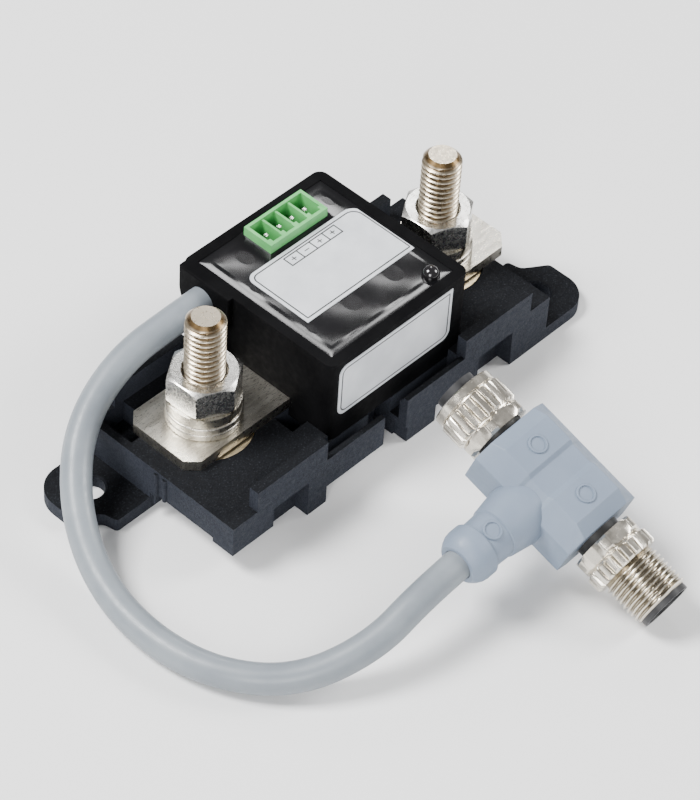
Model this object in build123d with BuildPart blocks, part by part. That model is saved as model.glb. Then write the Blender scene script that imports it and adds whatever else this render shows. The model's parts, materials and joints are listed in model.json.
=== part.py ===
from build123d import *
import os
from math import cos, pi, radians, sin, tan

os.makedirs("parts", exist_ok=True)

# Battery monitor shunt: two copper bars joined by a resistance sheet, on a printed holder,
# with a potted sensing module over the sheet and a short cable that ends in an M12 T-piece.
# Origin: middle of the footprint, on the mounting surface. +X runs along the holder towards
# the battery-side stud, -Y is the labelled front, +Z is up. Millimetres.

# Holder. Its outline is the same after half a turn about its middle.
half_length = 44.0
front, back = -22.1, 17.5
mid_y = (front + back) / 2
deck_bottom, deck_top = 4.2, 11.5
core_inset, core_end = 3.3, 40.2
ridge_thick, ridge_top = 2.2, 16.55
wall_thick, wall_top = 2.0, 11.7
notch_top = 9.0
trench_floor = 5.5
ear_thick = 3.0
ear_hole_radius = 2.9
ear_hole_x, ear_hole_y = 50.2, -14.1

# Bars, resistance sheet and studs
bar_bottom, bar_thick = 11.5, 2.4
bar_top = bar_bottom + bar_thick
bar_front, bar_back = -7.5, 10.5
left_bar_end, right_bar_end = -40.25, 48.75
sheet_left, sheet_right = -6.0, 15.2
stud_x = {"left": -28.85, "right": 35.15}
stud_y = 1.0
stud_radius, stud_top = 4.0, 39.5
seat_radius, seat_bottom, seat_rim_top = 9.8, 8.8, 11.0
head_bottom, hex_across = 4.4, 13.0
washer_bore, flat_washer_radius, flat_washer_thick = 4.2, 7.5, 1.6
spring_washer_radius, spring_washer_thick = 7.2, 2.2
nut_bore, nut_height, nut_angle = 4.05, 6.5, 33.0

# Module
module_left, module_right = -14.4, 23.6
module_front, module_back = -17.6, 22.1
module_bottom, module_top = 9.3, 29.1
skirt_back, step_z = 15.1, 11.9
shell = 2.3
module_corner = 2.0
floor_thick = 1.6
potting_top = 28.7
board_bottom, board_thick = 20.3, 1.6
board_top = board_bottom + board_thick
label_thick = 0.15

# Cable boss and cable
boss_out, boss_half, boss_centre_y, boss_bottom = 1.0, 6.7, 15.0, 17.5
cable_radius = 3.0
cable_hole_radius = 3.05
exit_y, exit_z = 15.3, 24.2
cable_start_x = -13.4

# Header: four poles at 3.5 mm
header_left, header_right = -0.55, 14.95
header_front, header_back, header_top = 11.8, 19.1, 31.1
pole_pitch, poles = 3.5, 4

# M12 T-piece: it rests on the rim of its pin side, tipped up towards its socket side
tee_origin = Vector(2.9, -57.4, 15.6)
tee_yaw, tee_pitch, tee_roll = -88.4, -19.6, 4.15
body_half, body_half_wide, body_half_thick = 12.3, 9.3, 7.5
leg_end = 25.3
m12_radius = 5.9


def block(x0, x1, y0, y1, z0, z1, mode=Mode.ADD):
    """A box between six planes."""
    with Locations(((x0 + x1) / 2, (y0 + y1) / 2, (z0 + z1) / 2)):
        Box(x1 - x0, y1 - y0, z1 - z0, mode=mode)


def drum(x, y, z0, z1, radius, mode=Mode.ADD):
    """An upright cylinder."""
    with Locations((x, y, (z0 + z1) / 2)):
        Cylinder(radius, z1 - z0, mode=mode)


def upright_edges(part):
    return part.edges().filter_by(Axis.Z)


half_turn = (Location((0, 0, 0)), Location((0, 2 * mid_y, 0), (0, 0, 1), 180))

# ---------------------------------------------------------------- holder
ridge_spans = [(-37.75, -19.25), (19.05, 38.2)]
wall_spans = [(-19.25, -3.4), (2.9, 19.05)]
foot_spans = [(-24.0, -18.95), (3.4, 11.5)]
notch_spans = [(-33.3, -24.0), (23.45, 33.3)]

with BuildSketch() as ear_outline:
    with BuildLine():
        FilletPolyline(
            (43, -4.3), (52.5, -4.3), (53.1, -7.4), (58.15, -10.7), (58.15, front), (43, front),
            radius=[0.8, 2.5, 1.2, 6.3],
        )
        Line((43, front), (43, -4.3))
    make_face()
    with Locations((ear_hole_x, ear_hole_y)):
        Circle(ear_hole_radius, mode=Mode.SUBTRACT)

with BuildPart() as base_holder:
    block(-half_length, half_length, front, back, deck_bottom, deck_top)
    block(-core_end, core_end, front + core_inset, back - core_inset, 0, deck_bottom)
    with Locations(*half_turn):
        for x0, x1 in foot_spans:
            block(x0, x1, front, front + core_inset, 0, deck_bottom)
        for x0, x1 in wall_spans:
            block(x0, x1, front, front + wall_thick, deck_top, wall_top)
        block(33.45, half_length, front, -4.3, 0, deck_bottom)
    for x0, x1 in ridge_spans:
        block(x0, x1, front, front + ridge_thick, deck_top, ridge_top)
    for x0, x1 in [(-38.2, -19.05), (24.0, 37.75)]:
        block(x0, x1, back - ridge_thick, back, deck_top, ridge_top)
    # small upright ribs where the ears meet the ends, and the ears
    with Locations(*half_turn):
        for rib_y in (-2.6, -0.4):
            drum(half_length, rib_y, ear_thick, deck_top - 0.6, 0.5)
    with BuildSketch():
        with Locations(*half_turn):
            add(ear_outline.sketch)
    extrude(amount=ear_thick)
    # notches in the front and back, shallow arches in the ends, and the two gaps between the walls
    with Locations(*half_turn):
        for x0, x1 in notch_spans:
            block(x0, x1, front - 1, front + core_inset, -1, notch_top, Mode.SUBTRACT)
        block(-half_length - 1, -core_end, -16.9, -2.2, 3, 5.2, Mode.SUBTRACT)
        block(-3.4, 2.9, front - 1, -14.0, -1, wall_top + 1, Mode.SUBTRACT)
        block(-19.0, 18.9, front + wall_thick, -17.8, trench_floor, wall_top + 1, Mode.SUBTRACT)
        # slot for a cable tie
        block(-18.6, -12.8, -12.4, -7.5, -1, deck_top + 1, Mode.SUBTRACT)
        # three thin steps inside the top edge of the walls
        for step in (1, 2, 3):
            y1 = front + wall_thick + 0.1
            y0 = y1 - 0.35 * (4 - step)
            block(-19.0, 19.0, y0, y1, wall_top - 0.45 * step, wall_top + 1, Mode.SUBTRACT)
    # seat for the module, and the pocket beside the end of the left bar
    block(module_left - 0.2, module_right + 0.2, -17.9, 15.4, module_bottom, 13, Mode.SUBTRACT)
    block(-42.3, -36.0, 6.5, 15.3, 6.5, deck_top + 1, Mode.SUBTRACT)
    for x in stud_x.values():
        drum(x, stud_y, seat_bottom, deck_top + 1, seat_radius + 0.3, Mode.SUBTRACT)
        drum(x, stud_y, -1, seat_bottom + 1, 8.2, Mode.SUBTRACT)
    round_edges = base_holder.edges().filter_by(GeomType.CIRCLE)
    ear_rims = [e for e in round_edges if abs(e.radius - ear_hole_radius) < 0.01]
    chamfer([e for e in ear_rims if e.center().Z > 1], 0.4)
base_holder.part.label = "base_holder"
export_step(base_holder.part, "parts/base_holder.step")

# ---------------------------------------------------------------- bars and resistance sheet
bars = {
    "left": (left_bar_end, sheet_left, 2.3, left_bar_end),
    "right": (sheet_right, right_bar_end, 2.8, right_bar_end),
}
for side, (x0, x1, corner, free_end) in bars.items():
    with BuildPart() as terminal_bar:
        block(x0, x1, bar_front, bar_back, bar_bottom, bar_top)
        free_corners = [e for e in upright_edges(terminal_bar) if abs(e.center().X - free_end) < 0.1]
        chamfer(free_corners, corner)
        drum(stud_x[side], stud_y, bar_bottom - 1, bar_top + 1, washer_bore, Mode.SUBTRACT)
    terminal_bar.part.label = f"terminal_bar_{side}"
    export_step(terminal_bar.part, f"parts/terminal_bar_{side}.step")

sheet_inset = 0.3
with BuildPart() as resistance_sheet:
    block(sheet_left, sheet_right, bar_front, bar_back, bar_bottom + sheet_inset, bar_top - sheet_inset)
resistance_sheet.part.label = "resistance_sheet"
export_step(resistance_sheet.part, "parts/resistance_sheet.step")


# ---------------------------------------------------------------- studs, washers and nuts
def hexagon(across):
    """A hexagon by its distance across flats, one corner at the nut angle."""
    RegularPolygon(across / 2, 6, major_radius=False, rotation=nut_angle)


for side, x in stud_x.items():
    with BuildPart() as seat_disc:
        drum(x, stud_y, seat_bottom, seat_rim_top, seat_radius)
        drum(x, stud_y, seat_rim_top, bar_bottom, 7.4)
        drum(x, stud_y, seat_bottom - 1, bar_bottom + 1, washer_bore, Mode.SUBTRACT)
    seat_disc.part.label = f"seat_disc_{side}"
    export_step(seat_disc.part, f"parts/seat_disc_{side}.step")

    with BuildPart() as stud:
        drum(x, stud_y, seat_bottom, stud_top, stud_radius)
        chamfer(stud.edges().group_by(Axis.Z)[-1], 1.2)
        with BuildSketch(Plane((x, stud_y, head_bottom))):
            hexagon(hex_across)
        extrude(amount=seat_bottom - head_bottom)
    stud.part.label = f"stud_{side}"
    export_step(stud.part, f"parts/stud_{side}.step")

    level = bar_top
    for place in ("lower", "upper"):
        with BuildPart() as flat_washer:
            drum(x, stud_y, level, level + flat_washer_thick, flat_washer_radius)
            drum(x, stud_y, level - 1, level + flat_washer_thick + 1, washer_bore, Mode.SUBTRACT)
            outer = flat_washer.edges().filter_by(GeomType.CIRCLE).group_by(SortBy.RADIUS)[-1]
            fillet(outer, 0.3)
        flat_washer.part.label = f"flat_washer_{place}_{side}"
        export_step(flat_washer.part, f"parts/flat_washer_{place}_{side}.step")
        level += flat_washer_thick

    # split ring with a slanted cut
    with BuildPart() as spring_washer:
        drum(x, stud_y, level, level + spring_washer_thick, spring_washer_radius)
        drum(x, stud_y, level - 1, level + spring_washer_thick + 1, washer_bore, Mode.SUBTRACT)
        with Locations(Location((x, stud_y - 6, level + spring_washer_thick / 2), (0, 1, 0), 25)):
            Box(0.8, 7, 8, mode=Mode.SUBTRACT)
    spring_washer.part.label = f"spring_washer_{side}"
    export_step(spring_washer.part, f"parts/spring_washer_{side}.step")
    level += spring_washer_thick

    # hexagon with its corners turned down by a cone at both ends
    corner_radius = hex_across / 2 / cos(radians(30))
    chamfer_drop = (corner_radius - hex_across / 2 + 0.15) * tan(radians(30))
    with BuildPart() as nut:
        with BuildSketch(Plane((x, stud_y, level))):
            hexagon(hex_across)
        extrude(amount=nut_height)
        with BuildSketch(Plane((x, stud_y, level), x_dir=(1, 0, 0), z_dir=(0, -1, 0))):
            with BuildLine():
                Polyline(
                    (0, 0), (hex_across / 2 - 0.15, 0), (corner_radius, chamfer_drop),
                    (corner_radius, nut_height - chamfer_drop), (hex_across / 2 - 0.15, nut_height),
                    (0, nut_height), close=True,
                )
            make_face()
        revolve(axis=Axis((x, stud_y, 0), (0, 0, 1)), mode=Mode.INTERSECT)
        drum(x, stud_y, level - 1, level + nut_height + 1, nut_bore, Mode.SUBTRACT)
        chamfer(nut.edges().filter_by(GeomType.CIRCLE).group_by(SortBy.RADIUS)[0], 0.45)
    nut.part.label = f"nut_{side}"
    export_step(nut.part, f"parts/nut_{side}.step")

# ---------------------------------------------------------------- module shell
inner_left, inner_right = module_left + shell, module_right - shell
inner_front, inner_back = module_front + shell, module_back - shell
inner_floor = module_bottom + floor_thick
boss_face = module_left - boss_out


def cavity_blocks(top, mode=Mode.ADD):
    """The room inside the shell: a deep part over the bars and a raised part at the back."""
    block(inner_left, inner_right, inner_front, skirt_back - shell, inner_floor, top, mode)
    block(inner_left, inner_right, skirt_back - shell, inner_back, step_z + floor_thick, top, mode)


with BuildPart() as module_housing:
    block(module_left, module_right, module_front, module_back, module_bottom, module_top)
    fillet(upright_edges(module_housing), module_corner)
    # the back of the shell hangs over the holder
    block(
        module_left - 1, module_right + 1, skirt_back, module_back + 1, module_bottom - 1, step_z,
        Mode.SUBTRACT,
    )
    with BuildSketch(Plane((boss_face, boss_centre_y, 0), x_dir=(0, -1, 0), z_dir=(-1, 0, 0))) as boss:
        with BuildLine():
            Line((-boss_half, module_top), (-boss_half, exit_z))
            ThreePointArc((-boss_half, exit_z), (0, boss_bottom), (boss_half, exit_z))
            Line((boss_half, exit_z), (boss_half, module_top))
            Line((boss_half, module_top), (-boss_half, module_top))
        make_face()
    extrude(amount=-boss_out - shell / 2)
    fillet(module_housing.faces().sort_by(Axis.X)[0].edges(), 0.4)
    cavity_blocks(module_top + 1, Mode.SUBTRACT)
    block(module_left - 1, module_right + 1, bar_front, bar_back, bar_bottom, bar_top, Mode.SUBTRACT)
    with Locations(Location((boss_face, exit_y, exit_z), (0, 1, 0), 90)):
        Cylinder(cable_hole_radius, 2 * (cable_start_x - boss_face), mode=Mode.SUBTRACT)
        Cylinder(2.0, 20, mode=Mode.SUBTRACT)
module_housing.part.label = "module_housing"
export_step(module_housing.part, "parts/module_housing.step")

# ---------------------------------------------------------------- electronics
board_left, board_right, board_front, board_back = -11.0, 20.4, -14.6, 19.4
pin_x = [(header_left + header_right) / 2 + pole_pitch * (i - (poles - 1) / 2) for i in range(poles)]
pin_y = 15.6
pin_half = 0.4
pin_top = 30.0
led_x, led_y, led_radius = 17.6, -12.9, 1.8
led_lead_gap = 1.27
sense_x = {"left": -8.0, "right": 17.2}
sense_y = 1.5
core_offsets = [(0.75, 0.75), (-0.75, 0.75), (0.75, -0.75), (-0.75, -0.75)]

with BuildPart() as circuit_board:
    block(board_left, board_right, board_front, board_back, board_bottom, board_top)
    fillet(upright_edges(circuit_board), 1.0)
    for x in pin_x:
        block(x - 0.5, x + 0.5, pin_y - 0.5, pin_y + 0.5, board_bottom - 1, board_top + 1, Mode.SUBTRACT)
    for x in sense_x.values():
        drum(x, sense_y, board_bottom - 1, board_top + 1, 0.6, Mode.SUBTRACT)
    for x in (led_x - led_lead_gap, led_x + led_lead_gap):
        drum(x, led_y, board_bottom - 1, board_top + 1, 0.35, Mode.SUBTRACT)
circuit_board.part.label = "circuit_board"
export_step(circuit_board.part, "parts/circuit_board.step")

# chips as (middle x, middle y, length, width, height), all on top of the board
chips = {
    "controller_chip": (3.0, -3.0, 7.0, 7.0, 1.0),
    "sense_amplifier": (-4.5, 2.5, 3.0, 4.9, 1.1),
    "voltage_regulator": (14.5, 4.0, 6.5, 3.5, 1.7),
    "bus_transceiver": (-5.0, 12.0, 5.0, 4.0, 1.5),
}
for name, (x, y, length, width, height) in chips.items():
    with BuildPart() as chip:
        block(x - length / 2, x + length / 2, y - width / 2, y + width / 2, board_top, board_top + height)
        chamfer(chip.faces().sort_by(Axis.Z)[-1].edges(), 0.2)
    chip.part.label = name
    export_step(chip.part, f"parts/{name}.step")

with BuildPart() as ceramic_capacitors:
    for x, y in [(-3.0, -9.0), (3.0, -9.0), (9.0, -9.0), (10.5, -2.0)]:
        block(x - 1.6, x + 1.6, y - 0.8, y + 0.8, board_top, board_top + 1.2)
ceramic_capacitors.part.label = "ceramic_capacitors"
export_step(ceramic_capacitors.part, "parts/ceramic_capacitors.step")

with BuildPart() as sense_leads:
    for x in sense_x.values():
        drum(x, sense_y, bar_top, board_top + 0.8, 0.5)
sense_leads.part.label = "sense_leads"
export_step(sense_leads.part, "parts/sense_leads.step")

with BuildPart() as cable_cores:
    for dy, dz in core_offsets:
        with Locations(Location(((cable_start_x - 8.6) / 2, exit_y + dy, exit_z + dz), (0, 1, 0), 90)):
            Cylinder(0.6, -8.6 - cable_start_x)
cable_cores.part.label = "cable_cores"
export_step(cable_cores.part, "parts/cable_cores.step")

led_flange_bottom, led_dome_z = 25.0, 28.9
with BuildPart() as status_led:
    drum(led_x, led_y, led_flange_bottom, led_dome_z, led_radius)
    with Locations((led_x, led_y, led_dome_z)):
        Sphere(led_radius)
status_led.part.label = "status_led"
export_step(status_led.part, "parts/status_led.step")

with BuildPart() as led_leads:
    for x in (led_x - led_lead_gap, led_x + led_lead_gap):
        drum(x, led_y, board_bottom - 0.5, led_flange_bottom, 0.3)
led_leads.part.label = "led_leads"
export_step(led_leads.part, "parts/led_leads.step")

# ---------------------------------------------------------------- header
header_wall, header_floor, web = 0.7, 2.2, 0.5
web_x = [(pin_x[i] + pin_x[i + 1]) / 2 for i in range(poles - 1)]
with BuildPart() as header_housing:
    block(header_left, header_right, header_front, header_back, board_top, header_top)
    block(
        header_left + header_wall, header_right - header_wall, header_front + header_wall,
        header_back - header_wall, board_top + header_floor, header_top + 1, Mode.SUBTRACT,
    )
    for x in web_x:
        block(x - web / 2, x + web / 2, header_front, header_back, board_top, header_top - 0.3)
    for x in [*web_x, header_left + header_wall, header_right - header_wall]:
        block(x - 0.6, x + 0.6, header_front, header_front + 1.6, board_top, header_top)
    for x in pin_x:
        block(x - pin_half, x + pin_half, pin_y - pin_half, pin_y + pin_half, board_top - 1,
              board_top + header_floor + 1, Mode.SUBTRACT)
header_housing.part.label = "header_housing"
export_step(header_housing.part, "parts/header_housing.step")

with BuildPart() as header_pins:
    for x in pin_x:
        block(x - pin_half, x + pin_half, pin_y - pin_half, pin_y + pin_half, board_bottom - 1.5, pin_top)
    chamfer(header_pins.faces().group_by(Axis.Z)[-1].edges(), 0.2)
header_pins.part.label = "header_pins"
export_step(header_pins.part, "parts/header_pins.step")

# ---------------------------------------------------------------- potting and labels
with BuildPart() as potting:
    cavity_blocks(potting_top)
    block(module_left, module_right, bar_front, bar_back, bar_bottom, bar_top, Mode.SUBTRACT)
    block(sheet_left, sheet_right, bar_front, bar_back, bar_bottom, bar_bottom + sheet_inset)
    block(sheet_left, sheet_right, bar_front, bar_back, bar_top - sheet_inset, bar_top)
    block(header_left, header_right, header_front, header_back, board_top, potting_top + 1, Mode.SUBTRACT)
    add(circuit_board.part, mode=Mode.SUBTRACT)
    for x in pin_x:
        block(x - pin_half, x + pin_half, pin_y - pin_half, pin_y + pin_half, board_bottom - 1.5,
              board_bottom, Mode.SUBTRACT)
        block(x - 0.5, x + 0.5, pin_y - 0.5, pin_y + 0.5, board_bottom, board_top, Mode.SUBTRACT)
    for x, y, length, width, height in chips.values():
        block(x - length / 2, x + length / 2, y - width / 2, y + width / 2, board_top, board_top + height,
              Mode.SUBTRACT)
    add(ceramic_capacitors.part, mode=Mode.SUBTRACT)
    for x in sense_x.values():
        drum(x, sense_y, bar_top, board_top + 0.8, 0.6, Mode.SUBTRACT)
    for x in (led_x - led_lead_gap, led_x + led_lead_gap):
        drum(x, led_y, board_bottom - 0.5, led_flange_bottom, 0.35, Mode.SUBTRACT)
    drum(led_x, led_y, led_flange_bottom, potting_top + 1, led_radius, Mode.SUBTRACT)
    for dy, dz in core_offsets:
        with Locations(Location((inner_left, exit_y + dy, exit_z + dz), (0, 1, 0), 90)):
            Cylinder(0.6, 2 * (-8.6 - inner_left), mode=Mode.SUBTRACT)
potting.part.label = "potting"
export_step(potting.part, "parts/potting.step")

top_label_left, top_label_right, top_label_front, top_label_back = -8.55, 21.2, -5.8, 10.7
with BuildPart() as top_label:
    block(
        top_label_left, top_label_right, top_label_front, top_label_back, potting_top,
        potting_top + label_thick,
    )
    for corner, radius in ((0, 2.0), (-1, 3.0)):
        fillet(upright_edges(top_label).group_by(Axis.Y)[-1].sort_by(Axis.X)[corner], radius)
top_label.part.label = "top_label"
export_step(top_label.part, "parts/top_label.step")

side_label_left, side_label_right, side_label_bottom, side_label_top = -12.25, 18.8, 14.9, 27.7
with BuildPart() as side_label:
    with BuildSketch(Plane.XZ.offset(-module_front)):
        with Locations(((side_label_left + side_label_right) / 2, (side_label_bottom + side_label_top) / 2)):
            Rectangle(side_label_right - side_label_left, side_label_top - side_label_bottom)
    extrude(amount=label_thick)
    label_corners = side_label.edges().filter_by(Axis.Y)
    fillet([e for e in label_corners if not (e.center().X > 0 and e.center().Z > 20)], 2.0)
side_label.part.label = "side_label"
export_step(side_label.part, "parts/side_label.step")

# ---------------------------------------------------------------- cable
tee_axis = Vector(
    cos(radians(tee_pitch)) * cos(radians(tee_yaw)), cos(radians(tee_pitch)) * sin(radians(tee_yaw)),
    sin(radians(tee_pitch)),
)
tee_level = Vector(0, 0, 1).cross(tee_axis).normalized()
tee_leg = -(tee_level * cos(radians(tee_roll)) + tee_axis.cross(tee_level) * sin(radians(tee_roll)))
cable_depth_in_leg = 1.8
cable_end = tee_origin + tee_leg * (leg_end - cable_depth_in_leg)

route = [
    (cable_start_x, exit_y, exit_z),
    (-21.0, exit_y, exit_z),
    (-35.7, 16.8, 21.2),
    (-49.6, 13.1, 15.8),
    (-59.6, 3.6, 9.3),
    (-65.7, -9.2, 4.0),
    (-68.0, -24.3, 3.0),
    (-65.2, -39.2, 3.05),
    (-56.6, -51.0, 4.1),
    (-43.6, -57.3, 8.6),
    tuple(tee_origin + tee_leg * 34),
    tuple(cable_end),
]


def arc_radii(points):
    """The largest arc that each pair of neighbouring runs leaves room for."""
    radii = []
    for before, here, after in zip(points, points[1:], points[2:]):
        run_in, run_out = Vector(*here) - Vector(*before), Vector(*after) - Vector(*here)
        half = radians(run_in.get_angle(run_out)) / 2
        radii.append(0.45 * min(run_in.length, run_out.length) / tan(half))
    return radii


cable_radii = arc_radii(route)
with BuildPart() as cable:
    with BuildLine() as cable_path:
        FilletPolyline(*route, radius=cable_radii)
    with BuildSketch(Plane(route[0], z_dir=(-1, 0, 0))):
        Circle(cable_radius)
    sweep()
cable.part.label = "cable"
export_step(cable.part, "parts/cable.step")
cable_length = cable_path.wire().length
print("cable radii", [round(r, 1) for r in cable_radii])
print("cable length", round(cable_length, 1), "volume over section times length",
      round(cable.part.volume / (pi * cable_radius**2 * cable_length), 4))

# ---------------------------------------------------------------- M12 T-piece
# local axes: z along the socket-to-pin axis, x along the cable leg, y away from the marked face
tee_plane = Plane(tee_origin, x_dir=tee_leg, z_dir=tee_axis)
leg_plane = Plane(tee_origin, x_dir=tee_axis, z_dir=tee_leg)
side_plane = Plane(tee_origin, x_dir=tee_leg, z_dir=tee_plane.y_dir)


def along_axis(distance):
    return tee_plane.offset(distance)


def ring(name, z0, z1, outer, inner):
    """A plain ring on the T-piece axis."""
    with BuildPart() as part:
        with BuildSketch(along_axis(z0)):
            Circle(outer)
            Circle(inner, mode=Mode.SUBTRACT)
        extrude(amount=z1 - z0)
    part.part.label = name
    export_step(part.part, f"parts/{name}.step")


# moulded body: an eight-sided section with a flat face on both sides, ramped at both ends
flat_half, waist_half_thick = 5.8, 3.6
with BuildPart() as connector_body:
    with BuildSketch(along_axis(-body_half)):
        with BuildLine():
            Polyline(
                (flat_half, body_half_thick), (body_half_wide, waist_half_thick),
                (body_half_wide, -waist_half_thick), (flat_half, -body_half_thick),
                (-flat_half, -body_half_thick), (-body_half_wide, -waist_half_thick),
                (-body_half_wide, waist_half_thick), (-flat_half, body_half_thick), close=True,
            )
        make_face()
    extrude(amount=2 * body_half)
    long_edges = connector_body.edges().filter_by(lambda e: abs(e.tangent_at(0).dot(tee_axis)) > 0.99)
    fillet(long_edges, 1.2)
    end_faces = connector_body.faces().filter_by(lambda f: abs(f.normal_at().dot(tee_axis)) > 0.99)
    chamfer(end_faces.edges(), 0.8)
    # the leg: a cone, a neck and a flange with a rounded end
    with BuildSketch(side_plane):
        with BuildLine():
            Polyline(
                (0, 0), (7.0, 0), (leg_end, 0), (leg_end, 4.0), (24.0, 5.1), (22.5, 5.5),
                (20.2, 5.5), (19.9, 4.8), (15.8, 4.95), (15.6, 5.3), (10.5, 6.1), (0, 6.1), close=True,
            )
        make_face()
    revolve(axis=Axis(tee_origin, tee_leg))
    with BuildSketch(leg_plane.offset(leg_end)):
        Circle(cable_hole_radius)
    extrude(amount=-cable_depth_in_leg, mode=Mode.SUBTRACT)
    # room for the socket insert and the pin insert
    for z0, z1 in ((-body_half, -body_half + 5), (body_half - 5, body_half)):
        with BuildSketch(along_axis(z0)):
            Circle(4.0)
        extrude(amount=z1 - z0, mode=Mode.SUBTRACT)
connector_body.part.label = "connector_body"
export_step(connector_body.part, "parts/connector_body.step")

# conductor bridge from the socket contacts to the pins, inside the moulding
contact_ring = 2.4
contact_angles = [radians(a) for a in (45, 135, 225, 315)]
contact_places = [(0, 0)] + [(contact_ring * cos(a), contact_ring * sin(a)) for a in contact_angles]


def contacts(name, z0, z1, radius):
    """Four contacts on a circle and one in the middle."""
    with BuildPart() as part:
        with BuildSketch(along_axis(z0)):
            with Locations(*contact_places):
                Circle(radius)
        extrude(amount=z1 - z0)
    part.part.label = name
    export_step(part.part, f"parts/{name}.step")


def insert(name, sections, hole, z0, z1):
    """A moulded insert made of stacked discs, with holes for the contacts between z0 and z1."""
    with BuildPart() as part:
        for a, b, radius in sections:
            with BuildSketch(along_axis(a)):
                Circle(radius)
            extrude(amount=b - a)
        with BuildSketch(along_axis(z0)):
            with Locations(*contact_places):
                Circle(hole)
        extrude(amount=z1 - z0, mode=Mode.SUBTRACT)
    return part


# socket side; the flange on the insert keeps the nut from coming off
nut_rear, nut_front, socket_face = -13.2, -23.7, -25.5
socket_insert = insert(
    "socket_insert",
    [(-body_half + 5, -body_half, 4.0), (-body_half, socket_face, 4.15), (-15.3, -16.2, 5.4)],
    0.55, socket_face, -9.0,
)
socket_insert.part.label = "socket_insert"
export_step(socket_insert.part, "parts/socket_insert.step")
contacts("socket_contacts", -9.0, -24.6, 0.5)
ring("seal_ring_socket_side", -13.9, -body_half, 5.0, 4.2)

with BuildPart() as coupling_nut:
    with BuildSketch(along_axis(nut_front)):
        Circle(6.75)
    extrude(amount=1.9)
    with BuildSketch(along_axis(nut_front + 1.9)):
        Circle(7.05)
    extrude(amount=5.3)
    with BuildSketch(along_axis(nut_front + 7.2)):
        RegularPolygon(6.5, 6, major_radius=False)
    extrude(amount=nut_rear - nut_front - 7.2)
    with BuildSketch(along_axis(nut_front)):
        Circle(5.5)
    extrude(amount=8.6, mode=Mode.SUBTRACT)
    with BuildSketch(along_axis(nut_front)):
        Circle(5.1)
    extrude(amount=12, mode=Mode.SUBTRACT)
coupling_nut.part.label = "coupling_nut"
export_step(coupling_nut.part, "parts/coupling_nut.step")

# pin side
screw_rear, screw_hex_end, thread_start, thread_end, pin_face = 13.9, 20.6, 21.2, 29.65, 30.8
ring("seal_ring_pin_side", body_half, screw_rear - 0.1, 4.6, 4.1)
pin_insert = insert(
    "pin_insert", [(body_half - 5, body_half, 4.0), (body_half, 24.0, 4.05)], 0.55, 8.0, 24.0
)
pin_insert.part.label = "pin_insert"
export_step(pin_insert.part, "parts/pin_insert.step")
contacts("pin_contacts", 9.0, 29.4, 0.5)
ring("pin_shroud", 24.0, pin_face, 5.2, 4.4)

with BuildPart() as coupling_screw:
    with BuildSketch(along_axis(screw_rear)):
        RegularPolygon(6.5, 6, major_radius=False)
    extrude(amount=3.0)
    with BuildSketch(along_axis(screw_rear + 3.0)):
        Circle(7.1)
    extrude(amount=screw_hex_end - screw_rear - 3.0)
    with BuildSketch(along_axis(screw_hex_end)):
        Circle(5.3)
    extrude(amount=thread_start - screw_hex_end)
    with BuildSketch(along_axis(thread_start)):
        Circle(m12_radius)
    extrude(amount=thread_end - thread_start)
    thread_rim = coupling_screw.faces().sort_by(Axis(tee_origin, tee_axis))[-1]
    chamfer(thread_rim.edges(), 0.5)
    with BuildSketch(along_axis(screw_rear)):
        Circle(4.15)
    extrude(amount=24.0 - screw_rear - 0.1, mode=Mode.SUBTRACT)
    with BuildSketch(along_axis(24.0 - 0.1)):
        Circle(5.25)
    extrude(amount=10, mode=Mode.SUBTRACT)
coupling_screw.part.label = "coupling_screw"
export_step(coupling_screw.part, "parts/coupling_screw.step")
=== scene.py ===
import json
import math

import bmesh
import bpy
from mathutils import Matrix, Vector


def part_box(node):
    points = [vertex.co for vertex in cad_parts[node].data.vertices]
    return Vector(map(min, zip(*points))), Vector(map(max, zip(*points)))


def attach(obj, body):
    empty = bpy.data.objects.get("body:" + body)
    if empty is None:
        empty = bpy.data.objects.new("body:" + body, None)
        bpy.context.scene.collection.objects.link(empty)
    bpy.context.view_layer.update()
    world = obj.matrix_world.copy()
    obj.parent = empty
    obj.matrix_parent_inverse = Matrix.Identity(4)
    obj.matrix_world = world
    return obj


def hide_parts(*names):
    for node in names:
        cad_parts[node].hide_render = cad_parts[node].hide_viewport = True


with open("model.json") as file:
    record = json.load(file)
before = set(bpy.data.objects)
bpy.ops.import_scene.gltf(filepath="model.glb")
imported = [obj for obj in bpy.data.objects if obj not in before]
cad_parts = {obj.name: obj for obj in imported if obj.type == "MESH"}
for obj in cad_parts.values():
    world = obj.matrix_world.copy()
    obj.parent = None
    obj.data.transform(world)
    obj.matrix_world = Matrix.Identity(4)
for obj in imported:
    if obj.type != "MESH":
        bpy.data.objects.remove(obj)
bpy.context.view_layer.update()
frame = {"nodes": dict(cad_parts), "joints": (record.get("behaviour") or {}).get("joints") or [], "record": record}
MM = 0.001
scene = bpy.context.scene
joints = {joint["name"]: joint for joint in frame["joints"]}

# ------------------------------------------------------------------ camera
looking = Vector((0.5232, 0.4520, -0.7225)).normalized()
right = looking.cross(Vector((0.5010, 0.5227, 0.6898))).normalized()
upward = right.cross(looking)
camera_data = bpy.data.cameras.new("camera")
camera_data.lens = 146.56
camera_data.sensor_width = 36
camera_data.shift_x, camera_data.shift_y = 0.0094, 0.0100
camera = bpy.data.objects.new("camera", camera_data)
camera_turn = Matrix((right, upward, -looking)).transposed().to_4x4()
camera.matrix_world = Matrix.Translation((-0.3300, -0.2934, 0.4571)) @ camera_turn
scene.collection.objects.link(camera)
scene.camera = camera


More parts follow.
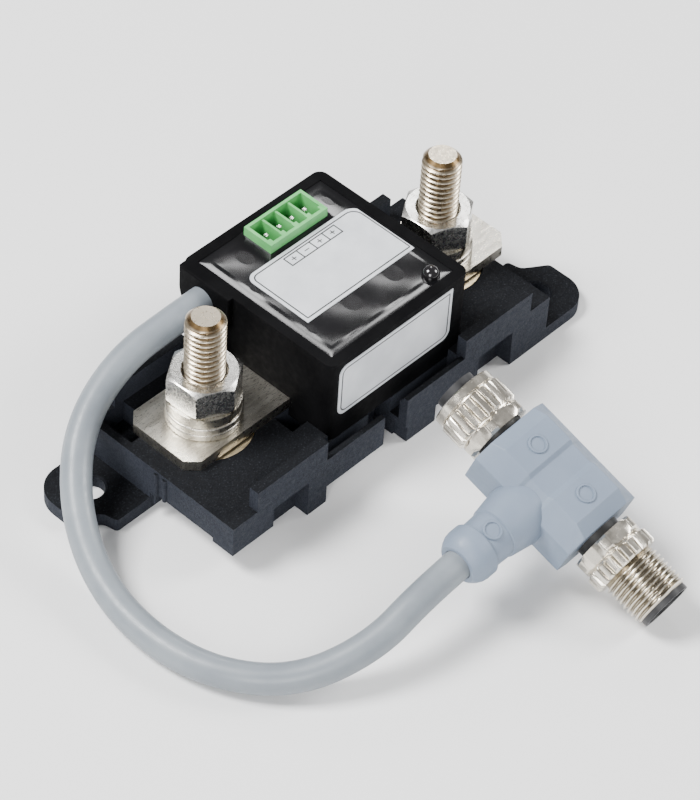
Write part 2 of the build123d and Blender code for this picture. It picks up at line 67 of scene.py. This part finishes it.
# ------------------------------------------------------------------ materials
class Shader:
    """A small helper round one material's node tree."""

    def __init__(self, name):
        self.material = bpy.data.materials.new(name)
        self.material.use_nodes = True
        self.nodes = self.material.node_tree.nodes
        self.links = self.material.node_tree.links
        self.surface = self.nodes["Principled BSDF"]
        self.place = self.nodes.new("ShaderNodeTexCoord").outputs["Object"]

    def set(self, **values):
        for name, value in values.items():
            self.surface.inputs[name.replace("_", " ")].default_value = value

    def scaled(self, scale):
        node = self.nodes.new("ShaderNodeMapping")
        node.inputs["Scale"].default_value = scale
        self.links.new(self.place, node.inputs["Vector"])
        return node.outputs["Vector"]

    def noise(self, scale, detail=3.0, stretch=(1, 1, 1)):
        node = self.nodes.new("ShaderNodeTexNoise")
        node.inputs["Scale"].default_value = scale
        node.inputs["Detail"].default_value = detail
        self.links.new(self.scaled(stretch), node.inputs["Vector"])
        return node.outputs["Fac"]

    def ramp(self, value, stops):
        node = self.nodes.new("ShaderNodeValToRGB")
        ramp = node.color_ramp
        for at, colour in stops[2:]:
            ramp.elements.new(at)
        for element, (at, colour) in zip(ramp.elements, sorted(stops)):
            element.position = at
            element.color = (*colour, 1)
        self.links.new(value, node.inputs["Fac"])
        return node.outputs["Color"]

    def spread(self, value, low, high, from_low=0.3, from_high=0.7):
        node = self.nodes.new("ShaderNodeMapRange")
        numbers = {"From Min": from_low, "From Max": from_high, "To Min": low, "To Max": high}
        for name, number in numbers.items():
            node.inputs[name].default_value = number
        self.links.new(value, node.inputs["Value"])
        return node.outputs["Result"]

    def mix(self, factor, first, second):
        node = self.nodes.new("ShaderNodeMix")
        node.data_type = "RGBA"
        self.links.new(factor, node.inputs["Factor"])
        self.links.new(first, node.inputs[6])
        self.links.new(second, node.inputs[7])
        return node.outputs[2]

    def bump(self, height, strength, distance):
        node = self.nodes.new("ShaderNodeBump")
        node.inputs["Strength"].default_value = strength
        node.inputs["Distance"].default_value = distance
        self.links.new(height, node.inputs["Height"])
        before = self.surface.inputs["Normal"]
        if before.is_linked:
            self.links.new(before.links[0].from_socket, node.inputs["Normal"])
        self.links.new(node.outputs["Normal"], before)

    def feed(self, name, value):
        self.links.new(value, self.surface.inputs[name])


def plain_finish(
        name, dark, light, rough, patches, grain, strength, metallic=0.0, stretch=(1, 1, 1), **values):
    """Colour that drifts in patches, roughness that follows a finer grain, and that grain as relief."""
    shader = Shader(name)
    shader.set(Metallic=metallic, **values)
    shader.feed("Base Color", shader.ramp(shader.noise(patches, 4, stretch), [(0.35, dark), (0.65, light)]))
    shader.feed("Roughness", shader.spread(shader.noise(grain / 2, 3, stretch), *rough))
    shader.bump(shader.noise(grain, 4, stretch), strength, 0.05 * MM)
    return shader.material


def printed_nylon():
    """Sintered nylon: a speckled grain with small pits, faint layers up the walls, and painted shade that makes
    tops darker than walls.
    """
    shader = Shader("printed_nylon")
    shader.set(Specular_IOR_Level=0.12)
    # painted shade: faces that point up take the darker colours (top), walls the lighter ones (side)
    facing = shader.nodes.new("ShaderNodeSeparateXYZ")
    geometry = shader.nodes.new("ShaderNodeNewGeometry")
    shader.links.new(geometry.outputs["Normal"], facing.inputs["Vector"])
    level = shader.spread(facing.outputs["Z"], 0, 1, 0.3, 0.8)
    grain = shader.noise(3200, 5)
    side = shader.ramp(grain, [(0.3, (0.014, 0.016, 0.022)), (0.7, (0.032, 0.036, 0.047))])
    top = shader.ramp(
        grain, [(0.34, (0.003, 0.003, 0.004)), (0.60, (0.006, 0.007, 0.009)), (0.76, (0.030, 0.032, 0.038))])
    shader.feed("Base Color", shader.mix(level, side, top))
    shader.feed("Roughness", shader.spread(shader.noise(900), 0.62, 0.85))
    layers = shader.nodes.new("ShaderNodeTexWave")
    layers.bands_direction = "Z"
    layers.inputs["Scale"].default_value = 2600
    layers.inputs["Distortion"].default_value = 0.6
    shader.links.new(shader.place, layers.inputs["Vector"])
    pits = shader.nodes.new("ShaderNodeTexVoronoi")
    pits.inputs["Scale"].default_value = 900
    shader.links.new(shader.place, pits.inputs["Vector"])
    shader.bump(layers.outputs["Fac"], 0.25, 0.05 * MM)
    shader.bump(shader.spread(pits.outputs["Distance"], 0, 1, 0.05, 0.3), 0.35, 0.08 * MM)
    shader.bump(grain, 0.6, 0.09 * MM)
    return shader.material


def threaded_metal(name, root_radius, crest_radius, valley_shade, crest, rough):
    """Plated metal with painted shade: a darker colour towards the bottom of the thread."""
    shader = Shader(name)
    shader.set(Metallic=1.0)
    flat = shader.scaled((1, 1, 0))
    length = shader.nodes.new("ShaderNodeVectorMath")
    length.operation = "LENGTH"
    shader.links.new(flat, length.inputs[0])
    climb = shader.spread(length.outputs["Value"], 0, 1, root_radius, crest_radius)
    facing = shader.nodes.new("ShaderNodeSeparateXYZ")
    shader.links.new(shader.nodes.new("ShaderNodeTexCoord").outputs["Normal"], facing.inputs["Vector"])
    flat_end = shader.spread(facing.outputs["Z"], 0, 1, 0.85, 0.97)
    either = shader.nodes.new("ShaderNodeMath")
    either.operation = "MAXIMUM"
    shader.links.new(climb, either.inputs[0])
    shader.links.new(flat_end, either.inputs[1])
    height = either.outputs["Value"]
    # painted shade: the valley colour darkens the thread towards its root
    low = shader.ramp(shader.noise(900, 4), [(0.3, valley_shade), (0.7, tuple(1.5 * c for c in valley_shade))])
    high = shader.ramp(shader.noise(500, 4), [(0.3, tuple(0.92 * c for c in crest)), (0.7, crest)])
    shader.feed("Base Color", shader.mix(height, low, high))
    shader.feed("Roughness", shader.spread(shader.noise(1500), *rough))
    shader.bump(shader.noise(4000, 4), 0.08, 0.03 * MM)
    return shader.material


# slot: darker colour, lighter colour, lowest and highest roughness, scale of the patches, scale of the
# grain, strength of the grain and, for metals and foil, how metallic it is
finishes = {
    "nickel_bar": ((0.50, 0.47, 0.41), (0.68, 0.65, 0.58), (0.24, 0.40), 160, 2200, 0.25, 1.0),
    "resistance_alloy": ((0.45, 0.36, 0.30), (0.58, 0.47, 0.39), (0.3, 0.5), 150, 2200, 0.3, 1.0),
    "brass_disc": ((0.50, 0.42, 0.28), (0.68, 0.59, 0.42), (0.28, 0.42), 200, 1800, 0.25, 1.0),
    "module_black": ((0.002, 0.002, 0.0024), (0.0045, 0.0045, 0.005), (0.58, 0.76), 120, 1500, 0.40),
    "potting_black": ((0.003, 0.003, 0.0035), (0.006, 0.006, 0.007), (0.11, 0.18), 60, 260, 0.06),
    "board_green": ((0.02, 0.13, 0.05), (0.04, 0.2, 0.08), (0.3, 0.45), 200, 1200, 0.2),
    "chip_black": ((0.012, 0.012, 0.012), (0.03, 0.03, 0.03), (0.5, 0.7), 300, 2500, 0.4),
    "capacitor_tan": ((0.38, 0.27, 0.16), (0.52, 0.38, 0.24), (0.35, 0.5), 400, 1500, 0.2),
    "copper_wire": ((0.6, 0.36, 0.24), (0.78, 0.5, 0.36), (0.25, 0.4), 300, 1500, 0.2, 1.0),
    "lamp_black": ((0.004, 0.004, 0.005), (0.010, 0.009, 0.010), (0.05, 0.09), 200, 500, 0.05),
    "header_green": ((0.085, 0.37, 0.105), (0.135, 0.48, 0.155), (0.32, 0.5), 200, 2200, 0.3),
    "pin_tin": ((0.66, 0.66, 0.63), (0.84, 0.84, 0.80), (0.15, 0.28), 400, 2500, 0.2, 1.0),
    "label_silver": ((0.55, 0.57, 0.60), (0.66, 0.68, 0.71), (0.30, 0.40), 110, 2600, 0.15, 0.25),
    "cable_grey": ((0.176, 0.200, 0.225), (0.222, 0.248, 0.272), (0.36, 0.50), 90, 1600, 0.3),
    "tee_grey": ((0.168, 0.212, 0.279), (0.186, 0.231, 0.302), (0.42, 0.58), 120, 2400, 0.25),
    "insert_black": ((0.010, 0.010, 0.011), (0.022, 0.022, 0.024), (0.4, 0.6), 300, 2400, 0.3),
    "contact_gold": ((0.66, 0.49, 0.22), (0.83, 0.65, 0.34), (0.2, 0.3), 400, 2500, 0.15, 1.0),
    "seal_black": ((0.008, 0.008, 0.008), (0.018, 0.018, 0.018), (0.45, 0.6), 300, 2000, 0.25),
    "washer_steel": ((0.52, 0.49, 0.42), (0.70, 0.66, 0.58), (0.22, 0.36), 220, 2400, 0.14, 1.0),
    "nut_steel": ((0.60, 0.59, 0.56), (0.76, 0.75, 0.72), (0.20, 0.32), 180, 2600, 0.10, 1.0),
}
extras = {
    "nickel_bar": {"stretch": (1, 7, 1)},
    "module_black": {"Specular_IOR_Level": 0.05},
    "potting_black": {"Specular_IOR_Level": 0.40},
    "lamp_black": {"Coat_Weight": 0.6},
    "cable_grey": {"Coat_Weight": 0.05},
}
materials = {slot: plain_finish(slot, *values, **extras.get(slot, {})) for slot, values in finishes.items()}
materials["printed_nylon"] = printed_nylon()
# the first colour of each is the painted shade in the thread's valleys, the second its plated colour
materials["stud_steel"] = threaded_metal(
    "stud_steel", 3.30 * MM, 3.92 * MM, (0.13, 0.085, 0.040), (0.58, 0.51, 0.40), (0.24, 0.38))
materials["m12_nickel"] = threaded_metal(
    "m12_nickel", 5.25 * MM, 5.80 * MM, (0.24, 0.21, 0.16), (0.76, 0.71, 0.62), (0.20, 0.28))
ink = plain_finish("label_ink", (0.010, 0.010, 0.011), (0.018, 0.018, 0.019), (0.35, 0.5), 300, 2500, 0.1)

for part in frame["record"]["subparts"]:
    node = frame["nodes"][part["node"]]
    node.data.materials.clear()
    node.data.materials.append(materials[part["material_slot"]])


# ------------------------------------------------------------------ mesh helpers
def piece_from(name, vertices, faces, slot, body, at=Matrix.Identity(4), smooth=35, look=None):
    """A mesh piece, given in millimetres, in its place on its CAD body."""
    mesh = bpy.data.meshes.new(name)
    mesh.from_pydata([Vector(v) * MM for v in vertices], [], faces)
    build = bmesh.new()
    build.from_mesh(mesh)
    bmesh.ops.recalc_face_normals(build, faces=build.faces)
    build.to_mesh(mesh)
    build.free()
    mesh.shade_smooth()
    mesh.set_sharp_from_angle(angle=math.radians(smooth))
    mesh.materials.append(look or materials[slot])
    piece = bpy.data.objects.new(name, mesh)
    scene.collection.objects.link(piece)
    piece.matrix_world = at
    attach(piece, body)
    return piece


def turned(stations, count, closed=False, start=0.0):
    """Rings round the local Z axis, joined in order.

    A station is its height and its radius: a number, or a function of the angle and height.
    """
    angles = [start + 2 * math.pi * i / count for i in range(count)]
    vertices, faces = [], []
    for z, radius in stations:
        for angle in angles:
            r = radius(angle, z) if callable(radius) else radius
            vertices.append((r * math.cos(angle), r * math.sin(angle), z))
    rings = len(stations)
    for k in range(rings if closed else rings - 1):
        a, b = k * count, (k + 1) % rings * count
        faces += [(a + i, a + (i + 1) % count, b + (i + 1) % count, b + i) for i in range(count)]
    if not closed:
        faces += [tuple(range(count)), tuple(range((rings - 1) * count, rings * count))]
    return vertices, faces


def thread(crest, root, pitch):
    """The radius of a right-handed thread at an angle and height."""
    crest_flat, flank = 0.12, 0.76

    def radius(angle, z):
        turn = (z / pitch - angle / (2 * math.pi)) % 1.0
        depth = min(1.0, max(0.0, (abs(2 * turn - 1) - crest_flat) / flank))
        return crest + (root - crest) * depth * depth * (3 - 2 * depth)
    return radius


def hexagon(across, first_corner=0.0, cap=99.0):
    """The radius of a hexagon, turned down to a circle of radius cap."""
    def radius(angle, z):
        off = (angle - first_corner) % (math.pi / 3) - math.pi / 6
        return min(across / 2 / math.cos(off), cap)
    return radius


def knurl(crest, root, lobes):
    """The radius of flat-topped ribs with V-shaped grooves between them."""
    groove_share = 0.62

    def radius(angle, z):
        groove = max(0.0, 1 - abs(math.cos(lobes * angle / 2)) / groove_share)
        return crest - (crest - root) * groove
    return radius


def steps(low, high, step):
    count = max(1, round((high - low) / step))
    return [low + (high - low) * i / count for i in range(count + 1)]


# ------------------------------------------------------------------ cable
route = [
    (-13.4, 15.3, 24.2), (-21.0, 15.3, 24.2), (-35.7, 16.8, 21.2), (-49.6, 13.1, 15.8), (-59.6, 3.6, 9.3),
    (-65.7, -9.2, 4.0), (-68.0, -24.3, 3.0), (-65.2, -39.2, 3.05), (-56.6, -51.0, 4.1), (-43.6, -57.3, 8.6),
    (-31.02, -57.52, 13.28), (-20.54, -57.48, 14.00),
]
cable_line = bpy.data.curves.new("grey_cable", "CURVE")
cable_line.dimensions = "3D"
spline = cable_line.splines.new("NURBS")
spline.points.add(len(route) - 1)
for point, place in zip(spline.points, route):
    point.co = (*(Vector(place) * MM), 1)
spline.order_u = 3
spline.use_endpoint_u = True
spline.resolution_u = 16
cable_line.bevel_depth = 3 * MM
cable_line.bevel_resolution = 8
cable_line.use_fill_caps = True
cable_line.materials.append(materials["cable_grey"])
cable = bpy.data.objects.new("grey_cable", cable_line)
scene.collection.objects.link(cable)
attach(cable, "root")
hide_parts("cable")

# ------------------------------------------------------------------ studs with their threads
corner = math.radians(33)
stud_thread = thread(3.95, 3.28, 1.25)
for side in ("left", "right"):
    low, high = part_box(f"stud_{side}")
    middle, top = (low + high) / 2, high.z / MM
    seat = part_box(f"seat_disc_{side}")[0].z / MM

    def tip(angle, z, top=top):
        return min(stud_thread(angle, z), 2.75 + (top - z))

    head = hexagon(13, corner, 7.35)
    stations = [(low.z / MM, 6.2), (low.z / MM + 0.3, head), (seat, head), (seat, 3.9)]
    stations += [(z, tip) for z in steps(seat + 0.1, top, 1.25 / 12)]
    vertices, faces = turned(stations, 72, start=corner)
    stud = piece_from(
        f"stud_m8_{side}", vertices, faces, "stud_steel", "root", Matrix.Translation((middle.x, middle.y, 0)))
    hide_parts(f"stud_{side}")

# ------------------------------------------------------------------ T-piece
nut_joint = joints["coupling_nut_turn"]
nut_joint_offset = 18
tee_axis = Vector(nut_joint["axis"]).normalized()
tee_origin = Vector(nut_joint["pos_m"]) + tee_axis * nut_joint_offset * MM
level = Vector((0, 0, 1)).cross(tee_axis).normalized()
roll = math.radians(4.15)
tee_leg = -(level * math.cos(roll) + tee_axis.cross(level) * math.sin(roll))


def frame_at_tee(x_axis, z_axis):
    """A frame at the T-piece's centre with these X and Z directions."""
    turn = Matrix((x_axis, z_axis.cross(x_axis), z_axis)).transposed().to_4x4()
    return Matrix.Translation(tee_origin) @ turn


tee_frame = frame_at_tee(tee_leg, tee_axis)
leg_frame = frame_at_tee(tee_axis, tee_leg)

# moulded body: a flat marked face with ramps at both ends and a shallow panel across the middle
body_wide, body_flat, edge_lift = 9.3, 5.8, 3.6
face_lift, panel_lift, end_lift = 7.5, 6.8, 5.8


def body_section(at, marked, plain):
    """Eight corners of the body across its axis, with the lift of the marked and the plain face."""
    return [
        (body_wide, -edge_lift, at), (body_flat, -marked, at),
        (-body_flat, -marked, at), (-body_wide, -edge_lift, at),
        (-body_wide, edge_lift, at), (-body_flat, plain, at),
        (body_flat, plain, at), (body_wide, edge_lift, at),
    ]


half_sections = [
    (2.3, panel_lift, face_lift), (3.2, face_lift, face_lift), (9.3, face_lift, face_lift),
    (12.3, end_lift, end_lift),
]
sections = [(-at, marked, plain) for at, marked, plain in reversed(half_sections)] + half_sections
vertices = [v for section in sections for v in body_section(*section)]
faces = [
    (8 * k + i, 8 * k + (i + 1) % 8, 8 * k + 8 + (i + 1) % 8, 8 * k + 8 + i)
    for k in range(len(sections) - 1) for i in range(8)
]
faces += [tuple(range(8)), tuple(range(8 * len(sections) - 8, 8 * len(sections)))]
tee = piece_from("tee_body", vertices, faces, "tee_grey", "root", tee_frame, 30)
rounding = tee.modifiers.new("rounding", "BEVEL")
rounding.width = 0.18 * MM
rounding.segments = 2
rounding.limit_method = "ANGLE"
rounding.angle_limit = math.radians(15)

leg_profile = [
    (3.0, 6.1), (10.5, 6.05), (15.3, 5.25), (15.5, 4.95), (19.8, 4.8), (20.1, 5.25), (20.4, 5.45),
    (22.3, 5.45), (23.2, 5.30), (24.1, 4.90), (24.9, 4.35), (25.3, 3.85), (25.3, 3.10), (23.6, 3.10),
]
vertices, faces = turned(leg_profile, 96)
leg = piece_from("tee_leg", vertices, faces, "tee_grey", "root", leg_frame, 30)
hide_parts("connector_body")

joining = tee.modifiers.new("joining", "BOOLEAN")
joining.object = leg
joining.operation = "UNION"
joining.solver = "EXACT"
bpy.context.view_layer.update()
joined = bpy.data.meshes.new_from_object(tee.evaluated_get(bpy.context.evaluated_depsgraph_get()))
tee.modifiers.clear()
tee.data = joined
joined.shade_smooth()
joined.set_sharp_from_angle(angle=math.radians(22))
bpy.data.objects.remove(leg)
flats = tee.modifiers.new("flats", "WEIGHTED_NORMAL")
flats.keep_sharp = True

# round moulding marks on the marked face and on the neck
mark = [(-0.4, 1.9), (0.22, 1.9), (0.34, 1.80), (0.34, 1.55), (0.03, 1.42), (0.03, 0.4)]
to_face = Matrix.Rotation(math.radians(90), 4, "X")
for name, along, out, lift in (("a", -6.3, 0, face_lift), ("b", 6.3, 0, face_lift), ("c", 0, 17.8, 4.75)):
    vertices, faces = turned(mark, 48)
    facing = tee_frame @ Matrix.Translation(Vector((out, -lift, along)) * MM) @ to_face
    piece_from(f"tee_mark_{name}", vertices, faces, "tee_grey", "root", facing, 30)

# coupling nut: a smooth ring, coarse ribs and a hexagon whose corners are turned down
nut_hex = hexagon(13.2, 0, 7.2)
ribs = knurl(7.05, 6.35, 24)
inner_thread = thread(5.55, 5.95, 1.0)
outside = [
    (-23.7, 6.35), (-23.45, 6.65), (-21.9, 6.65), (-21.75, 6.45), (-21.5, 6.55), (-21.2, ribs), (-16.7, ribs),
    (-16.3, 6.5), (-16.1, 6.45), (-15.8, hexagon(13.2, 0, 6.75)), (-15.4, nut_hex), (-13.8, nut_hex),
    (-13.2, hexagon(13.2, 0, 6.65)),
]
inside = [(-13.2, 5.1), (-15.0, 5.1), (-15.1, 5.55)]
inside += [(z, inner_thread) for z in reversed(steps(-23.2, -15.3, 0.1))] + [(-23.7, 6.0)]
vertices, faces = turned(outside + inside, 288, closed=True)
nut = piece_from("coupling_nut_m12", vertices, faces, "m12_nickel", "coupling_nut", tee_frame)
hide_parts("coupling_nut")

# coupling screw: hexagon, groove, ribs, neck and the M12 thread
outer_thread = thread(5.88, 5.28, 1.0)


def thread_tip(angle, z):
    return min(outer_thread(angle, z), 5.35 + (29.65 - z), 5.35 + 1.2 * max(0, z - 21.0))


outside = [
    (13.9, hexagon(13.0, 0, 6.6)), (14.4, hexagon(13.0, 0, 7.1)), (16.3, hexagon(13.0, 0, 7.1)),
    (16.8, hexagon(13.0, 0, 6.6)), (17.0, 6.35), (17.3, 6.5), (17.6, ribs), (20.2, ribs),
    (20.6, 6.6), (20.62, 5.2),
]
outside += [(z, thread_tip) for z in steps(21.1, 29.65, 0.1)]
inside = [(29.65, 5.25), (24.0, 5.25), (23.95, 4.15), (13.9, 4.15)]
vertices, faces = turned(outside + inside, 288, closed=True)
screw = piece_from("coupling_screw_m12", vertices, faces, "m12_nickel", "coupling_screw", tee_frame)
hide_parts("coupling_screw")

# ------------------------------------------------------------------ potting
# it climbs where it meets the shell and the header
pot_low, pot_high = (corner_point / MM for corner_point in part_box("potting"))
header_low, header_high = (corner_point / MM for corner_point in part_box("header_housing"))
grid = 0.35
columns, rows = steps(pot_low.x, pot_high.x, grid), steps(pot_low.y, pot_high.y, grid)
skin, ripple = 0.03, 0.06
wall_rise, wall_reach = 0.20, 1.1
header_rise, header_reach = 0.30, 0.8


def potting_height(x, y):
    wall = min(x - pot_low.x, pot_high.x - x, y - pot_low.y, pot_high.y - y)
    over = max(header_low.x - x, x - header_high.x, header_low.y - y, y - header_high.y, 0.0)
    wave = ripple * math.sin(0.55 * x + 0.8) * math.cos(0.42 * y)
    climb = wall_rise * math.exp(-wall / wall_reach) + header_rise * math.exp(-over / header_reach)
    return pot_high.z + skin + wave * (wall > 2) + climb


vertices = [(x, y, potting_height(x, y)) for y in rows for x in columns]
vertices += [(x, y, pot_high.z - 0.1) for y in rows for x in columns]
wide, under = len(columns), len(columns) * len(rows)


def under_header(i, j):
    """Whether a cell of the grid lies within the header's outline."""
    across = header_low.x < columns[i] and columns[i + 1] < header_high.x
    return across and header_low.y < rows[j] and rows[j + 1] < header_high.y


cells = {(i, j) for j in range(len(rows) - 1) for i in range(wide - 1) if not under_header(i, j)}
faces = []
for i, j in sorted(cells):
    a, b, c, d = j * wide + i, j * wide + i + 1, (j + 1) * wide + i + 1, (j + 1) * wide + i
    faces += [(a, b, c, d), (a + under, d + under, c + under, b + under)]
    for p, q, beside in ((a, b, (i, j - 1)), (b, c, (i + 1, j)), (c, d, (i, j + 1)), (d, a, (i - 1, j))):
        if beside not in cells:
            faces.append((p, p + under, q + under, q))
used = sorted({v for face in faces for v in face})
renumber = {old: new for new, old in enumerate(used)}
piece_from(
    "potting_meniscus", [vertices[v] for v in used], [tuple(renumber[v] for v in face) for face in faces],
    "potting_black", "root", smooth=50)


# ------------------------------------------------------------------ printing on the labels
def rounded_loop(x0, x1, y0, y1, radii):
    """Corner radii run anticlockwise from the low corner."""
    loop = []
    corners = ((x0, y0, 1, 1, 180), (x1, y0, -1, 1, 270), (x1, y1, -1, -1, 0), (x0, y1, 1, -1, 90))
    for (x, y, sx, sy, first), r in zip(corners, radii):
        for k in range(7):
            angle = math.radians(first + 15 * k)
            loop.append((x + sx * r + r * math.cos(angle), y + sy * r + r * math.sin(angle)))
    return loop


def printed(name, frames, bars, at):
    """Thin ink, as outlines and bars, on the local XY plane."""
    vertices, faces = [], []
    for x0, x1, y0, y1, radii, width in frames:
        outer = rounded_loop(x0, x1, y0, y1, radii)
        inner_radii = [max(r - width, 0.02) for r in radii]
        inner = rounded_loop(x0 + width, x1 - width, y0 + width, y1 - width, inner_radii)
        n, base = len(outer), len(vertices)
        for z in (0.0, 0.02):
            vertices += [(x, y, z) for x, y in outer] + [(x, y, z) for x, y in inner]
        for i in range(n):
            k = (i + 1) % n
            for a, b in ((0, n), (2 * n, 3 * n), (0, 2 * n), (n, 3 * n)):
                faces.append((base + a + i, base + a + k, base + b + k, base + b + i))
    for x0, x1, y0, y1 in bars:
        base = len(vertices)
        vertices += [(x, y, z) for z in (0.0, 0.02) for x, y in ((x0, y0), (x1, y0), (x1, y1), (x0, y1))]
        faces += [(base, base + 1, base + 2, base + 3), (base + 4, base + 5, base + 6, base + 7)]
        faces += [(base + i, base + (i + 1) % 4, base + 4 + (i + 1) % 4, base + 4 + i) for i in range(4)]
    return piece_from(name, vertices, faces, "label_silver", "root", at, look=ink)


low, high = (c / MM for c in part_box("top_label"))
line = 0.28
strip = (header_low.x + 0.75, header_high.x - 0.75, high.y - 4.0, high.y - 1.3)
inset = 0.7
frames = [
    (low.x + inset, high.x - inset, low.y + inset, high.y - inset, (0.3, 0.3, 2.4, 1.5), line),
    (*strip, (0.1,) * 4, line),
]
bars = []
cell = (strip[1] - strip[0]) / 4
arm, half_stroke = 0.6, 0.11
for i in (1, 2, 3):
    x = strip[0] + cell * i
    bars.append((x - line / 2, x + line / 2, strip[2] + line, strip[3] - line))
for i, plus in enumerate((True, False, True, True)):
    x, y = strip[0] + cell * (i + 0.5), (strip[2] + strip[3]) / 2
    bars.append((x - arm, x + arm, y - half_stroke, y + half_stroke))
    if plus:
        bars.append((x - half_stroke, x + half_stroke, y + half_stroke, y + arm))
        bars.append((x - half_stroke, x + half_stroke, y - arm, y - half_stroke))
printed("top_label_print", frames, bars, Matrix.Translation((0, 0, high.z * MM)))

low, high = (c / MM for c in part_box("side_label"))
front = Matrix.Translation((0, low.y * MM, 0)) @ Matrix.Rotation(math.radians(90), 4, "X")
outline = (low.x + inset, high.x - inset, low.z + inset, high.z - inset, (1.5, 1.5, 0.2, 1.5), line)
printed("side_label_print", [outline], [], front)

# ------------------------------------------------------------------ floor, light and air
floor_mesh = bpy.data.meshes.new("floor")
floor_mesh.from_pydata([(-4, -4, 0), (4, -4, 0), (4, 4, 0), (-4, 4, 0)], [], [(0, 1, 2, 3)])
floor = bpy.data.objects.new("floor", floor_mesh)
floor.location.z = -0.0001
paper = plain_finish("floor_paper", (0.86, 0.86, 0.86), (0.88, 0.88, 0.88), (0.85, 0.9), 3, 60, 0.02)
floor_mesh.materials.append(paper)
scene.collection.objects.link(floor)

world = bpy.data.worlds.new("air")
world.use_nodes = True
world.node_tree.nodes["Background"].inputs["Color"].default_value = (1.0, 1.0, 1.0, 1)
world.node_tree.nodes["Background"].inputs["Strength"].default_value = 0.32
scene.world = world
target = Vector((-0.005, -0.015, 0.01))
for name, place, size, power in (
    ("key", (-0.45, 0.45, 0.95), 0.42, 25.0),
    ("fill", (-0.80, -0.50, 0.55), 0.45, 9.0),
    ("side", (0.75, -0.50, 0.60), 0.40, 10.0),
    ("far", (0.62, 0.52, 0.62), 0.16, 1.5),
):
    light = bpy.data.lights.new(name, "AREA")
    light.size, light.energy = size, power
    lamp = bpy.data.objects.new(name, light)
    lamp.location = place
    lamp.rotation_euler = (target - Vector(place)).to_track_quat("-Z", "Y").to_euler()
    scene.collection.objects.link(lamp)
